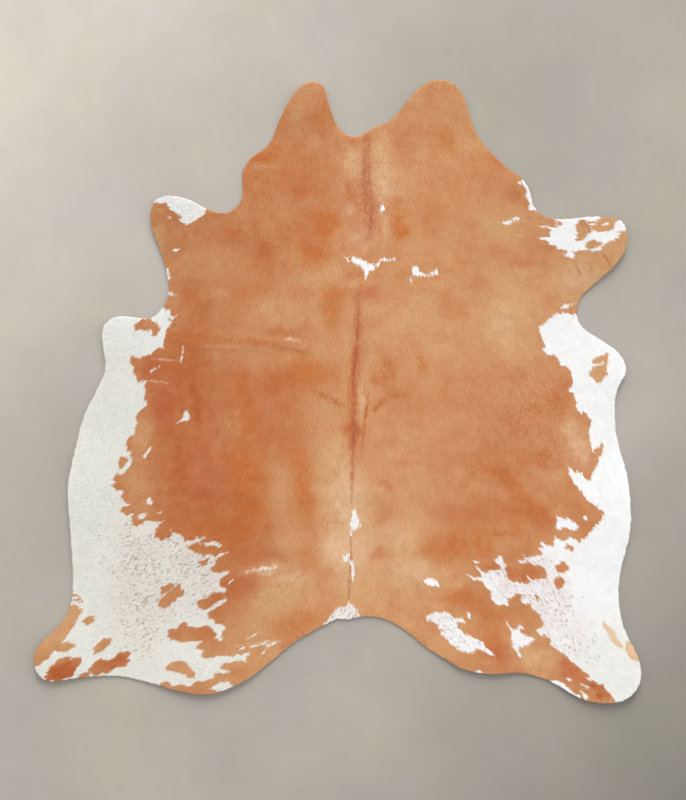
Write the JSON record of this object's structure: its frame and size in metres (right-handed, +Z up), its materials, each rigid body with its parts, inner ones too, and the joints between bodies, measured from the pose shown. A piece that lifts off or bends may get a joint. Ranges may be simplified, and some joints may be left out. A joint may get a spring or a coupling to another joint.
{
  "type": "cowhide rug",
  "caption": "Flat hair-on cowhide rug with the hide's natural outline: neck flaps, legs, belly edges and rump.",
  "frame": {"origin": "on the floor, under the middle of the rug's box", "axes": "+Z up out of the hair side, +Y along the spine towards the neck, +X to the right seen from above with the neck up"},
  "size_m": [2, 2.055, 0.0129],
  "materials": {
    "hair_coat": "short tan and white hair lying flat, soft sheen",
    "suede_back": "matt pale suede"
  },
  "bodies": {
    "root": {"cowhide": "hair_coat"}
  },
  "joints": []
}
